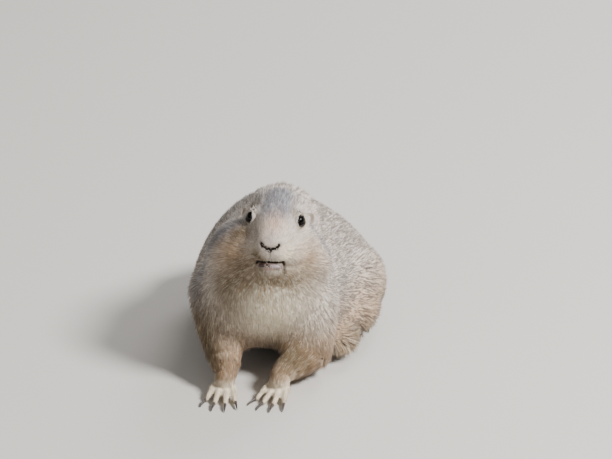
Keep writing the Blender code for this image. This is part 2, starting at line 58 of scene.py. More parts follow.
# Landmarks of the head, from the nose tip: x to the animal's left, y back, z up
EYE_PLACE = np.array((16.4, 33.0, 14.2))
EYE_WAY = np.array((0.74, -0.57, 0.37)) / np.linalg.norm((0.74, -0.57, 0.37))
EYE_RADIUS = 5.4
EAR_PLACE = np.array((24.0, 46.5, 14.5))
MOUTH = (
    (-9.8, 6.6, -15.4),
    (-8.2, 3.9, -12.9),
    (-3.6, 2.9, -12.3),
    (0, 2.7, -12.1),
    (3.6, 2.7, -12.0),
    (9.0, 3.4, -12.0),
    (9.9, 5.6, -15.2),
    (10.2, 8.6, -20.5),
)
NOSTRIL = ((6.0, 0, 0.9), (5.3, 0, -0.5), (3.8, 0, -1.4), (2.0, 0, -2.1), (0, 0, -2.4))
PHILTRUM = ((0.2, 0.4, -2.6), (0.1, 0.9, -6.5), (0.0, 2.4, -11.6))

# Paths that the coat follows, in millimetres
SPINE_PLAN = ((2.0, 8.0), (12.5, 110.0), (51.5, 199.0))
ARMS = {
    "right": ((-26, 44, 64), (-21, 29, 31), (-18.5, 3, 15), (-20.5, -7, 7.2), (-22.5, -24, 2.5)),
    "left": ((43, 40, 61), (44.5, 28, 23), (23, 1, 14.5), (20, -8.5, 7.2), (13, -24, 2.5)),
}
FEET = {
    "right": ((-11, 136, 7), (-13.5, 101, 5.4), (-14.5, 84, 2.5)),
    "left": ((84, 152, 7), (79.7, 118.3, 5.4), (77.3, 101, 2.5)),
}

# Finishes, as the eye sees them; UMBER also paints shade on the coat, SLATE the shade in its folds
GRIZZLE = (208, 197, 188)
CREAM = (238, 225, 198)
SLATE = (106, 114, 131)
TAN = (202, 158, 112)
RUST = (150, 115, 84)
UMBER = (98, 80, 54)
PINKISH = (200, 170, 154)
BUFF = (248, 232, 206)
TICK = (102, 92, 86)
BLACK = (42, 36, 32)


def to_row(p):
    """Millimetres in the body's axes as metres in the row's."""
    return ORIGIN + np.asarray(p, float) * MM


def to_head(p):
    return (p - NOSE) @ HEAD


def from_head(h):
    return NOSE + np.asarray(h, float) @ HEAD.T


def unit(v):
    return v / np.maximum(np.linalg.norm(v, axis=-1, keepdims=True), 1e-9)


def ramp(a, b, x):
    """0 at a, 1 at b, eased between; a may be the larger."""
    t = np.clip((x - a) / (b - a), 0, 1)
    return t * t * (3 - 2 * t)


def spine_at(t):
    a, b, c = (np.array(p) for p in SPINE_PLAN)
    t = np.asarray(t, float)[..., None]
    return a * (1 - t) ** 2 + b * 2 * t * (1 - t) + c * t**2


def along_spine(p):
    """Which way the spine runs beside points p, and what share of it is before them."""
    plan = np.concatenate([spine_at(np.linspace(0, 1, 24)), np.zeros((24, 1))], 1)
    _, heading, share = along_path(p * (1, 1, 0), plan)
    return heading, share


def tail_path(steps=12):
    root = spine_at(0.93)
    t = np.linspace(0, 1, steps + 1)
    return np.stack([root[0] + 2.0 - 13.0 * t * t, root[1] + t * 98, 40 - 28 * (1 - (1 - t) ** 2)], 1)


def along_path(p, path):
    """For points p: how far the path is, which way it runs there, and what share of it is behind."""
    path = np.asarray(path, float)
    a, ab = path[:-1], np.diff(path, axis=0)
    reach = (ab**2).sum(1)
    t = np.clip(((p[:, None] - a) * ab).sum(2) / reach, 0, 1)
    gap = np.linalg.norm(p[:, None] - (a + t[..., None] * ab), axis=2)
    k = gap.argmin(1)
    i = np.arange(len(p))
    return gap[i, k], unit(ab)[k], (k + t[i, k]) / len(a)


# Shader maths as expressions


def linear(rgb):
    c = np.array(rgb) / 255
    return tuple(float(v) for v in np.where(c <= 0.04045, c / 12.92, ((c + 0.055) / 1.055) ** 2.4)) + (1.0,)


class Wire:
    """A socket of a node tree that takes part in Python expressions."""

    def __init__(self, shop, socket):
        self.shop = shop
        self.socket = socket

    def _maths(self, operation, a, b):
        return self.shop.node("ShaderNodeMath", {"operation": operation}, [a, b])

    def __add__(self, other):
        return self._maths("ADD", self, other)

    __radd__ = __add__

    def __sub__(self, other):
        return self._maths("SUBTRACT", self, other)

    def __rsub__(self, other):
        return self._maths("SUBTRACT", other, self)

    def __mul__(self, other):
        return self._maths("MULTIPLY", self, other)

    __rmul__ = __mul__

    def __truediv__(self, other):
        return self._maths("DIVIDE", self, other)

    def __gt__(self, other):
        return self._maths("GREATER_THAN", self, other)

    def __pow__(self, other):
        return self._maths("POWER", self, other)


class Shop:
    """One material and its nodes."""

    def __init__(self, name, roughness=0.8, specular=0.3, coat=0.0, sheen=0.0):
        self.material = bpy.data.materials.new(name)
        self.material.use_nodes = True
        self.tree = self.material.node_tree
        self.shader = self.tree.nodes["Principled BSDF"]
        self.shader.inputs["Roughness"].default_value = roughness
        self.shader.inputs["Specular IOR Level"].default_value = specular
        self.shader.inputs["Coat Weight"].default_value = coat
        self.shader.inputs["Sheen Weight"].default_value = sheen

    def node(self, kind, settings=None, inputs=(), out=0):
        n = self.tree.nodes.new(kind)
        for key, value in (settings or {}).items():
            setattr(n, key, value)
        pairs = inputs.items() if isinstance(inputs, dict) else enumerate(inputs)
        for key, value in pairs:
            if isinstance(value, Wire):
                self.tree.links.new(value.socket, n.inputs[key])
            elif value is not None:
                n.inputs[key].default_value = value
        return Wire(self, n.outputs[out])

    def attribute(self, name, out="Fac"):
        return self.node("ShaderNodeAttribute", {"attribute_name": name}, out=out)

    def parts(self, name):
        vector = self.attribute(name, "Vector")
        split = self.tree.nodes.new("ShaderNodeSeparateXYZ")
        self.tree.links.new(vector.socket, split.inputs[0])
        return [Wire(self, split.outputs[i]) for i in range(3)]

    def place(self):
        return self.node("ShaderNodeTexCoord", out="Object")

    def noise(self, at, scale, detail=2.0, roughness=0.5):
        inputs = {"Vector": at, "Scale": scale, "Detail": detail, "Roughness": roughness}
        return self.node("ShaderNodeTexNoise", {}, inputs)

    def blend(self, amount, a, b, how="MIX"):
        n = self.tree.nodes.new("ShaderNodeMix")
        n.data_type = "RGBA"
        n.blend_type = how
        n.clamp_factor = True
        for socket, value in ((n.inputs[0], amount), (n.inputs[6], a), (n.inputs[7], b)):
            if isinstance(value, Wire):
                self.tree.links.new(value.socket, socket)
            else:
                socket.default_value = value
        return Wire(self, n.outputs[2])

    def between(self, x, low, high):
        settings = {"clamp": True}
        return self.node("ShaderNodeMapRange", settings, {"Value": x, "From Min": low, "From Max": high})

    def feed(self, name, value):
        self.tree.links.new(value.socket, self.shader.inputs[name])

    def bump(self, height, strength, distance):
        made = self.node("ShaderNodeBump", {}, {"Height": height, "Strength": strength, "Distance": distance})
        self.feed("Normal", made)


# Markings, the same for the skin and the coat, painted shade and painted light among them


def near(p, centre, radii):
    """A soft patch: 1 at the centre, falling away over the radii."""
    return np.exp(-(((p - np.array(centre)) / np.array(radii)) ** 2).sum(1))


def faded(gap, width):
    """1 where the gap is none, falling away over the width."""
    return np.exp(-((gap / width) ** 2))


def stroke(p, path, width):
    """A soft stroke along a path."""
    return faded(along_path(p, path)[0], width)


def mouth_gap(h):
    """How far points of the muzzle are from the line of the mouth, seen from the front."""
    gap = along_path(h * (1, 0, 1), np.array(MOUTH) * (1, 0, 1))[0]
    return gap + 0.45 * ramp(-12.6, -14, h[:, 2]) + 4 * ramp(13, 18, h[:, 1])


def nostril_gap(h):
    """How far points of the nose are from the slits of the nostrils, seen from the front."""
    flat = h * (1, 0, 1)
    gaps = [along_path(flat, np.array(NOSTRIL) * (side, 1, 1))[0] for side in (-1, 1)]
    return np.minimum(*gaps) + 3 * ramp(4.5, 6.5, h[:, 1])


# Soft patches of the markings: share, centre and reach, on the head's or the body's axes

CROWN = ((1.26, (1, 36, 28), (11, 16, 13)),)
FOREHEAD = ((1.1, (0, 24, 18.5), (9, 8, 8)), (0.5, (0.5, 6, 6), (2.4, 6, 4)))
BREAST = ((1.1, (16, 2, 64), (27, 30, 27)),)
UNDER_CHIN = ((0.5, (0, 8, -30), (22, 20, 8)),)
# Pale patches of the face, stronger on the animal's left, which faces the key light: partly painted light
PALE_AND_LIT_FACE = (
    (0.9, (11.5, 7, -6), (6, 10, 7)),
    (0.4, (-11.5, 7, -6), (5, 8, 5)),
    (0.7, (22.5, 36, 14), (3.5, 6, 6)),
    (0.15, (-22.5, 36, 14), (3.5, 6, 6)),
)
# Tan cheeks, heavier on the animal's right cheek, away from the key light: partly painted shade
CHEEKS = ((0.7, (25, 24, -12), (13, 16, 12)), (1.0, (-25, 24, -12), (13, 16, 14)))
BRIDGE = ((0.9, (1, 14, 12), (8, 13, 9)),)
# Browner patches of the face, most of them painted shade: on the animal's right side, away from the key
# light, round the eyes, beside the muzzle, at the mouth and under the chin
SHADE_AND_BROWN_FACE = (
    (0.7, (-26, 24, 0), (7, 10, 6)),
    (0.25, (26, 26, 0), (5, 8, 5)),
    (0.6, (-19, 16, -15), (11, 12, 10)),
    (1.5, (-8.5, 5, -10), (6, 7, 6)),
    (0.5, (-21, 36, 8), (4, 6, 4)),
    (0.4, (20, 24, 8), (5, 6, 2.5)),
    (0.5, (-20, 26, 4), (6, 8, 5)),
    (0.35, (13.5, 13, 3), (2.0, 5, 6)),
    (0.6, (13.5, 30, 20), (4, 5, 4)),
    (0.35, (-9, 12, 6), (4, 10, 8)),
    (0.35, (0, 8, -21), (9, 9, 5)),
    (0.4, (-17, 27, 1), (5, 7, 6)),
)
# Browner patches of the body, most of them painted shade: on the animal's right side, under the chin and
# jowls, low on the flank, at the elbow and between the forelegs
SHADE_AND_BROWN_BODY = (
    (0.35, (-16, 8, 70), (14, 20, 16)),
    (0.72, (15, 4, 90), (34, 22, 12)),
    (0.5, (-18, 10, 86), (16, 22, 14)),
    (0.42, (40, 10, 92), (20, 20, 14)),
    (0.85, (-40, 30, 38), (15, 44, 28)),
    (0.95, (36, 10, 25), (20, 20, 15)),
    (0.35, (14, 12, 34), (20, 14, 9)),
)
# Painted shade beside the mouth and on the upper lip, on the animal's right, away from the key light
MOUTH_SHADE = ((0.25, (-8, 4, -11), (4, 6, 3)), (0.4, (-7, 5, -14.5), (4, 5, 2.2)))

# Grey bands of painted shade in the folds behind the cheeks and down the flank: share, width and path
CREASE_SHADE_BANDS = (
    (0.85, 4.5, ((45, 40, 119), (52, 36, 109), (59, 36, 95), (65, 50, 76))),
    (0.85, 7.5, ((-7, 34, 124), (-18, 33, 117), (-33, 35, 96), (-40, 32, 72), (-43, 28, 52))),
    (0.51, 3.0, ((72, 86, 70), (74, 76, 54), (77, 76, 38))),
)


def patches(p, table):
    return sum(share * near(p, centre, reach) for share, centre, reach in table)


def markings(p):
    """Shares of each colour at points p of the body: three vectors of three masks, some of them painted shade
    and painted light.
    """
    h = to_head(p)
    x, y, z = p.T
    # Slate: the crown's and forehead's own blue-grey, and the painted shade of the folds
    crease_shade = sum(share * stroke(p, path, width) for share, width, path in CREASE_SHADE_BANDS)
    slate_and_crease_shade = np.clip(patches(h, CROWN) + crease_shade + patches(h, FOREHEAD), 0, 0.92)
    chest = patches(p, BREAST) + patches(h, UNDER_CHIN)
    belly = ramp(26, 10, z) * ramp(20, 45, y)
    # Pale: the cream chest, chin and belly, with the painted light of the face's lit side
    pale_and_lit = np.clip(chest + patches(h, PALE_AND_LIT_FACE) + 0.4 * belly, 0, 1)
    tan = np.clip(0.8 * patches(h, CHEEKS) + 0.62 * ramp(64, 26, z), 0, 1)
    leg = ramp(58, 22, z) * ramp(40, 14, y)
    # Painted shade: darker low on the flanks and on the animal's right side, away from the key light
    low_flank_shade = 0.95 * ramp(37, 15, z) * ramp(30, 60, y)
    shaded_right_side = 0.42 * ramp(84, 50, z) * ramp(5, -30, x)
    # Umber: the coat's own brown with the painted shade of the patches above
    umber_and_shade = np.clip(patches(h, SHADE_AND_BROWN_FACE) + patches(p, SHADE_AND_BROWN_BODY) + low_flank_shade + shaded_right_side, 0, 1)
    foot = ramp(19, 10, z) * ramp(14, -5, y)
    mouth = mouth_gap(h)
    corner = ramp(-12.5, -14, h[:, 2]) * ramp(0, 4, h[:, 0])
    # Black: the tail's tip, and the dark of the mouth line and the nostril slits, partly their own dark and
    # partly painted shade in their grooves, with the painted shade beside the mouth
    black_and_shade = ramp(216, 250, y) + patches(h, MOUTH_SHADE)
    black_and_shade += 0.75 * faded(mouth, 1.4) + 0.8 * faded(nostril_gap(h), 1.5) + 0.5 * faded(mouth, 1.8) * corner
    ticked = (1 - 0.85 * np.clip(chest, 0, 1)) * (1 - 0.75 * leg) * (1 - 0.7 * ramp(56, 20, h[:, 1]))
    return (
        np.stack([slate_and_crease_shade, pale_and_lit, tan], 1),
        np.stack([0.8 * leg, umber_and_shade, patches(h, BRIDGE)], 1),
        np.stack([np.clip(black_and_shade, 0, 1), foot, ticked], 1),
    )


def base_colour(shop):
    """The coat's ground colour from the marking masks, painted shade and painted light among them."""
    slate_and_crease_shade, pale_and_lit, tan = shop.parts("marks_a")
    rust, umber_and_shade, pink = shop.parts("marks_b")
    black_and_shade, foot, _ = shop.parts("marks_c")
    colour = linear(GRIZZLE)
    for share, paint in (
        (tan, TAN),
        (pale_and_lit, CREAM),
        (rust, RUST),
        (slate_and_crease_shade, SLATE),
        (pink, PINKISH),
        (umber_and_shade, UMBER),
        (foot, BUFF),
        (black_and_shade, BLACK),
    ):
        colour = shop.blend(share, colour, linear(paint))
    return colour


def coat_material():
    shop = Shop("grizzled_coat", roughness=0.75, specular=0.2, sheen=0.15)
    colour = base_colour(shop)
    tone = shop.attribute("tuft_tone")
    along = shop.attribute("along")
    _, _, ticked = shop.parts("marks_c")
    patch = shop.noise(shop.attribute("root_at", "Vector"), 0.09, 3.0)
    colour = shop.blend(shop.between(patch, 0.40, 0.80) * 0.15, colour, linear(UMBER))
    lock = shop.attribute("lock_tone")
    pale_tip = shop.between(tone, 0.40, 0.0) * along * 0.4
    colour = shop.blend(pale_tip, colour, linear((240, 228, 206)))
    colour = shop.blend(shop.between(lock, 0.6, 1.0) * 0.16, colour, linear((238, 226, 204)))
    colour = shop.blend(shop.between(lock, 0.4, 0.0) * 0.12, colour, linear(UMBER))
    _, pale_and_lit, _ = shop.parts("marks_a")
    colour = shop.blend(shop.between(lock, 0.5, 0.9) * pale_and_lit * 0.3, colour, linear((248, 242, 226)))
    colour = shop.blend(shop.between(lock, 0.4, 0.1) * pale_and_lit * 0.14, colour, linear(TAN))
    streak = (tone > 0.70) * shop.between(along, 0.2, 0.8) * 0.3
    colour = shop.blend(streak, colour, linear(UMBER))
    tick = (tone > 0.87) * shop.between(along, 0.1, 0.5) * ticked * 0.8
    colour = shop.blend(tick, colour, linear(TICK))
    deep = shop.between(along, 0.0, 0.5)
    shade = shop.blend(deep, (0.56, 0.51, 0.47, 1), (1, 1, 1, 1))
    colour = shop.blend(1.0, colour, shade, "MULTIPLY")
    shop.feed("Base Color", colour)
    return shop.material


def skin_material():
    shop = Shop("skin_under_the_coat", roughness=0.7, specular=0.25)
    colour = base_colour(shop)
    grain = shop.noise(shop.place(), 900.0, 3.0)
    fleck = shop.noise(shop.place(), 260.0, 4.0, 0.7)
    colour = shop.blend(shop.between(fleck, 0.4, 0.7) * 0.3, colour, linear(UMBER))
    lips, dark, bare = shop.parts("face_marks")
    colour = shop.blend(bare, colour, linear((150, 118, 116)))
    colour = shop.blend(lips, colour, linear((70, 42, 38)))
    # Dark mouth line, philtrum and nostril slits: partly their own dark, partly painted shade in the grooves
    colour = shop.blend(dark, colour, linear((22, 16, 12)))
    shop.feed("Base Color", colour)
    shop.bump(grain, 0.5, 0.0004)
    return shop.material


def eye_material():
    shop = Shop("wet_dark_eye", roughness=0.12, specular=0.10)
    facing, _, _ = shop.parts("eye_marks")
    fleck = shop.noise(shop.place(), 1800.0, 2.0)
    iris = shop.blend(fleck, linear((18, 12, 9)), linear((8, 6, 5)))
    colour = shop.blend(shop.between(facing, 0.80, 0.86), iris, linear((4, 3, 3)))
    shop.feed("Base Color", colour)
    return shop.material


def lid_material():
    shop = Shop("lid_skin", roughness=0.6, specular=0.3)
    inner, _, _ = shop.parts("lid_marks")
    hair = shop.noise(shop.place(), 1500.0, 3.0)
    colour = shop.blend(hair, linear((176, 163, 149)), linear((130, 117, 104)))
    colour = shop.blend(shop.between(inner, 0.45, 0.85), colour, linear((30, 24, 22)))
    shop.feed("Base Color", colour)
    shop.bump(hair, 0.5, 0.0003)
    return shop.material


def lip_material():
    shop = Shop("moist_lip", roughness=0.35, specular=0.5)
    spot = shop.noise(shop.place(), 700.0, 3.0)
    dark, shaded, _ = shop.parts("lip_marks")
    colour = shop.blend(spot, linear((192, 174, 182)), linear((142, 118, 126)))
    colour = shop.blend(shaded, colour, linear((44, 26, 24)))
    colour = shop.blend(dark, colour, linear((74, 48, 46)))
    shop.feed("Base Color", colour)
    shop.bump(shop.noise(shop.place(), 2400.0, 2.0), 0.4, 0.0002)
    return shop.material


def claw_material():
    shop = Shop("claw_horn", roughness=0.35, specular=0.5)
    grain = shop.noise(shop.place(), 420.0, 3.0)
    colour = shop.blend(shop.between(grain, 0.35, 0.7), linear((44, 40, 42)), linear((92, 84, 80)))
    shop.feed("Base Color", colour)
    shop.bump(grain, 0.3, 0.0002)
    return shop.material


def ear_material():
    shop = Shop("ear_skin", roughness=0.7, specular=0.25)
    inner, _, _ = shop.parts("ear_marks")
    hair = shop.noise(shop.place(), 900.0, 3.0)
    colour = shop.blend(hair, linear((190, 178, 168)), linear((148, 136, 126)))
    colour = shop.blend(inner, colour, linear((152, 137, 128)))
    shop.feed("Base Color", colour)
    shop.bump(hair, 0.5, 0.0003)
    return shop.material


def whisker_material():
    shop = Shop("whisker", roughness=0.4, specular=0.4)
    spot = shop.noise(shop.place(), 200.0)
    shop.feed("Base Color", shop.blend(spot, linear((84, 74, 66)), linear((226, 216, 204))))
    return shop.material


# Meshes from arrays


def mesh_from(name, verts_mm, faces, smooth=True):
    """A mesh from points in millimetres and an array of triangles or quads."""
    faces = np.asarray(faces)
    mesh = bpy.data.meshes.new(name)
    mesh.vertices.add(len(verts_mm))
    mesh.vertices.foreach_set("co", to_row(verts_mm).astype(np.float32).ravel())
    mesh.loops.add(faces.size)
    mesh.loops.foreach_set("vertex_index", faces.ravel().astype(np.int32))
    mesh.polygons.add(len(faces))
    mesh.polygons.foreach_set("loop_start", (np.arange(len(faces)) * faces.shape[1]).astype(np.int32))
    mesh.polygons.foreach_set("use_smooth", np.full(len(faces), smooth))
    mesh.update(calc_edges=True)
    return mesh


def piece(name, mesh, material, replaced=()):
    obj = bpy.data.objects.new(name, mesh)
    bpy.context.scene.collection.objects.link(obj)
    mesh.materials.clear()
    mesh.materials.append(material)
    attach(obj, "root")
    if replaced:
        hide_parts(*replaced)
    return obj


def give(mesh, name, values):
    """A value or vector for each vertex, as a named attribute."""
    values = np.asarray(values, np.float32)
    if values.ndim == 1:
        mesh.attributes.new(name, "FLOAT", "POINT").data.foreach_set("value", values)
    else:
        mesh.attributes.new(name, "FLOAT_VECTOR", "POINT").data.foreach_set("vector", values.ravel())


def read(mesh):
    """Points in millimetres and triangles of a mesh."""
    mesh.calc_loop_triangles()
    co = np.empty(len(mesh.vertices) * 3, np.float32)
    mesh.vertices.foreach_get("co", co)
    tris = np.empty(len(mesh.loop_triangles) * 3, np.int32)
    mesh.loop_triangles.foreach_get("vertices", tris)
    return (co.reshape(-1, 3).astype(float) - ORIGIN) / MM, tris.reshape(-1, 3)


def normals_of(p, tris):
    a, b, c = p[tris[:, 0]], p[tris[:, 1]], p[tris[:, 2]]
    flat = np.cross(b - a, c - a)
    out = np.stack([sum(np.bincount(tris[:, k], flat[:, i], len(p)) for k in range(3)) for i in range(3)], 1)
    return unit(out)


def drawn_to_neighbours(p, tris, weight, steps):
    """Moves each point towards the mean of its neighbours, by its weight and each step's share."""
    ends = np.concatenate([tris[:, (0, 1)], tris[:, (1, 2)], tris[:, (2, 0)]])
    ends = ends[weight[ends].max(1) > 0]
    ends = np.concatenate([ends, ends[:, ::-1]])
    count = np.maximum(np.bincount(ends[:, 0], minlength=len(p)), 1)[:, None]
    for step in steps:
        mean = np.stack([np.bincount(ends[:, 0], p[ends[:, 1], k], len(p)) for k in range(3)], 1) / count
        p = p + (mean - p) * (weight * step)[:, None]
    return p


def relaxed(p, tris, passes, weight):
    """Evens out the shape without shrinking it."""
    return drawn_to_neighbours(p, tris, weight, (0.6, -0.61) * passes)


# Skin

FLESH = [n for n in sorted(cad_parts) if not n.startswith(("eye", "claw"))]
GROW = 0.22  # closes the gaps between the solids
SKIN_STEP = 0.85  # the size of the skin's first faces
BODY_DEPTH = 3.8  # the depth of the coat on the trunk
SKIN_GOAL = 150000  # triangles left by thinning, before the face is split finer


def taken(obj):
    """Points and triangles of an object with its modifiers applied; the object goes."""
    bpy.context.view_layer.update()
    made = bpy.data.meshes.new_from_object(obj.evaluated_get(bpy.context.evaluated_depsgraph_get()))
    first = obj.data
    bpy.data.objects.remove(obj)
    bpy.data.meshes.remove(first)
    p, tris = read(made)
    bpy.data.meshes.remove(made)
    return p, tris


def flesh_as_one():
    """The nodes of flesh, each swollen by the width of the gaps, as one closed surface."""
    whole = bmesh.new()
    for name in FLESH:
        bm = bmesh.new()
        bm.from_mesh(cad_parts[name].data)
        bmesh.ops.remove_doubles(bm, verts=bm.verts, dist=2e-6)
        bm.normal_update()
        ways = [v.normal.copy() for v in bm.verts]
        for v, way in zip(bm.verts, ways):
            v.co += way * GROW * MM
        mesh = bpy.data.meshes.new(name + "_copy")
        bm.to_mesh(mesh)
        bm.free()
        whole.from_mesh(mesh)
        bpy.data.meshes.remove(mesh)
    mesh = bpy.data.meshes.new("flesh")
    whole.to_mesh(mesh)
    whole.free()
    obj = bpy.data.objects.new("flesh", mesh)
    bpy.context.scene.collection.objects.link(obj)
    shrink = obj.modifiers.new("one", "REMESH")
    shrink.mode = "VOXEL"
    shrink.voxel_size = SKIN_STEP * MM
    shrink.adaptivity = 0.12 * MM
    return taken(obj)


def fine_where(p, level):
    """Where the skin needs smaller faces: the muzzle, then the nose and the line of the mouth."""
    h = to_head(p)
    if level == 0:
        return (h[:, 1] < 16) & (h[:, 2] > -24) & (np.abs(h[:, 0]) < 14)
    nose = (h[:, 1] < 7) & (np.abs(h[:, 0]) < 10) & (h[:, 2] > -5.5) & (h[:, 2] < 5.5)
    return nose | ((mouth_gap(h) < 2.2) & (h[:, 1] < 12))


def largest_shell(p, tris):
    """Keeps the outer surface alone."""
    owner = np.arange(len(p))
    while True:
        low_end = owner[tris].min(1)
        new = owner.copy()
        for k in range(3):
            np.minimum.at(new, tris[:, k], low_end)
        new = new[new]
        if (new == owner).all():
            break
        owner = new
    best = np.bincount(owner).argmax()
    keep = owner[tris[:, 0]] == best
    used = np.unique(tris[keep])
    index = np.full(len(p), -1)
    index[used] = np.arange(len(used))
    return p[used], index[tris[keep]]


def coat_depth(p):
    """How thick the coat is over the skin, in millimetres."""
    h = to_head(p)
    from_nose = np.linalg.norm(h - np.array((0, 0, -4)), axis=1)
    head = np.interp(from_nose, (0, 10, 22, 36, 55, 75), (0.3, 0.5, 0.85, 1.2, 2.0, 3.4))
    on_head = ramp(84, 60, from_nose)
    depth = BODY_DEPTH * (1 - on_head) + head * on_head
    for name in ("right", "left"):
        gap, _, share = along_path(p, ARMS[name])
        leg = np.interp(share, (0, 0.25, 0.5, 0.75, 1), (3.4, 2.8, 1.6, 0.6, 0.3))
        w = ramp(20, 11, gap) * ramp(0.15, 0.35, share)
        depth = depth * (1 - w) + leg * w
        gap, _, share = along_path(p, FEET[name])
        w = ramp(13, 9, gap) * ramp(14, 9, p[:, 2])
        depth = depth * (1 - w) + 0.45 * w
    gap, _, share = along_path(p, tail_path())
    w = ramp(0.10, 0.24, share) * ramp(18, 14, gap)
    tail = np.interp(share, (0, 0.3, 0.7, 0.9, 1), (2.4, 2.6, 3.2, 2.6, 1.2))
    depth = depth * (1 - w) + tail * w
    return depth


def thinned(p, tris, kept, goal):
    """Fewer triangles under the coat; the chosen points keep theirs."""
    mesh = mesh_from("skin", p, tris)
    obj = bpy.data.objects.new("skin", mesh)
    bpy.context.scene.collection.objects.link(obj)
    free = obj.vertex_groups.new(name="free")
    free.add(np.nonzero(~kept)[0].tolist(), 1.0, "REPLACE")
    fewer = obj.modifiers.new("fewer", "DECIMATE")
    fewer.ratio = goal / len(tris)
    fewer.vertex_group = "free"
    fewer.vertex_group_factor = 100
    fewer.use_collapse_triangulate = True
    return taken(obj)


def skin_shape():
    p, tris = largest_shell(*flesh_as_one())
    h = to_head(p)
    calm = 1 - 0.75 * ramp(58, 44, h[:, 1]) * ramp(-34, -26, h[:, 2])
    calm *= 1 - 0.85 * ramp(20, 12, p[:, 2]) * ramp(10, 2, p[:, 1])
    calm *= 1 - 0.7 * ramp(11, 7, p[:, 2]) * ramp(60, 80, p[:, 1])
    p = relaxed(p, tris, 8, calm)
    p = flattened_ears(p, tris)
    h = to_head(p)
    face = (h[:, 1] < 40) & (h[:, 2] > -30)
    forefeet = (p[:, 2] < 20) & (p[:, 1] < 20)
    hind_feet = (p[:, 2] < 12) & (p[:, 1] > 80)
    p, tris = thinned(p, tris, face | forefeet | hind_feet, SKIN_GOAL)
    for level in range(2):
        p, tris = split_finer(p, tris, fine_where(p, level))
        p = relaxed(p, tris, 2, np.where(fine_where(p, level), 0.9, 0.0))
    n = normals_of(p, tris)
    p = p - n * coat_depth(p)[:, None]
    return sculpted(p, tris), tris


def flattened_ears(p, tris):
    """Smooths the solid ears down to low mounds, as the ears proper stand on them."""
    h = to_head(p)
    weight = np.zeros(len(p))
    for side in (-1, 1):
        away = np.linalg.norm(h - EAR_PLACE * (side, 1, 1), axis=1)
        weight = np.maximum(weight, ramp(15, 10, away))
    return drawn_to_neighbours(p, tris, weight, (0.7,) * 70)


def split_finer(p, tris, chosen):
    """Splits the edges of the triangles whose corners are all chosen."""
    bm = bmesh.new()
    mesh = mesh_from("skin", p, tris)
    bm.from_mesh(mesh)
    bpy.data.meshes.remove(mesh)
    wanted = set()
    for f in bm.faces:
        if all(chosen[v.index] for v in f.verts):
            wanted.update(e.index for e in f.edges)
    edges = [e for e in bm.edges if e.index in wanted]
    bmesh.ops.subdivide_edges(bm, edges=edges, cuts=1, use_grid_fill=True)
    bmesh.ops.triangulate(bm, faces=bm.faces)
    mesh = bpy.data.meshes.new("skin")
    bm.to_mesh(mesh)
    bm.free()
    p, tris = read(mesh)
    bpy.data.meshes.remove(mesh)
    return p, tris


def sculpted(p, tris):
    """Lips, the groove of the mouth, the crease under the nose and the slits of the nostrils."""
    h = to_head(p)
    push = -1.6 * faded(mouth_gap(h), 1.0) - 0.5 * stroke(h, PHILTRUM, 0.6) - 1.2 * faded(nostril_gap(h), 1.0)
    push += 0.5 * near(h, (5.2, 1.5, -7), (3.6, 5, 3)) + 0.5 * near(h, (-5.2, 1.5, -7), (3.6, 5, 3))
    push += 0.5 * near(h, (0, 3, -15.4), (6, 5, 1.8))
    return p + normals_of(p, tris) * push[:, None]


def mark(mesh, p, copies=1):
    """The markings at points p, each given to that many corners."""
    for name, values in zip(("marks_a", "marks_b", "marks_c"), markings(p)):
        give(mesh, name, np.repeat(values, copies, 0))


def face_marks(h):
    """Lips, dark slits and bare skin of the face; the dark of the slits and grooves is partly painted shade.
    """
    mouth = mouth_gap(h)
    dark = 1.2 * faded(mouth, 1.3) + 0.85 * stroke(h, PHILTRUM, 1.1) + 1.7 * faded(nostril_gap(h), 1.5)
    bare = near(h, (0, 4, -16.5), (7, 6, 2.6)) + 0.35 * near(h, (0, 1, 0), (7, 4, 3.5))
    return np.stack([faded(mouth, 2.2), np.clip(dark, 0, 1), bare], 1)


skin_p, skin_tris = skin_shape()
skin_n = normals_of(skin_p, skin_tris)
skin_mesh = mesh_from("skin", skin_p, skin_tris)
mark(skin_mesh, skin_p)
give(skin_mesh, "face_marks", face_marks(to_head(skin_p)))
piece("skin", skin_mesh, skin_material(), FLESH)


# The lie of the coat


def lie_of_coat(p, n):
    """Which way the hair lies at points p, along the surface."""
    heading, _ = along_spine(p)
    front = np.clip(-(n * heading).sum(1), 0, 1)[:, None]
    way = heading * (1 - 0.8 * front) + np.array((0, 0, -1.0)) * (0.26 + 1.1 * front)
    h = to_head(p)
    head_way = unit(h - np.array((0, -7, -3))) @ HEAD.T
    w = (ramp(68, 44, h[:, 1]) * ramp(-46, -28, h[:, 2]))[:, None]
    way = way * (1 - w) + head_way * w
    for name in ("right", "left"):
        gap, heading, share = along_path(p, ARMS[name])
        w = (ramp(24, 13, gap) * ramp(0.05, 0.3, share))[:, None]
        way = way * (1 - w) + heading * w
        gap, heading, share = along_path(p, FEET[name])
        w = (ramp(15, 10, gap) * ramp(16, 9, p[:, 2]))[:, None]
        way = way * (1 - w) + heading * w
    gap, heading, share = along_path(p, tail_path())
    w = (ramp(0.08, 0.2, share) * ramp(20, 15, gap))[:, None]
    way = way * (1 - w) + heading * w
    way = way - n * (way * n).sum(1, keepdims=True)
    return unit(way)


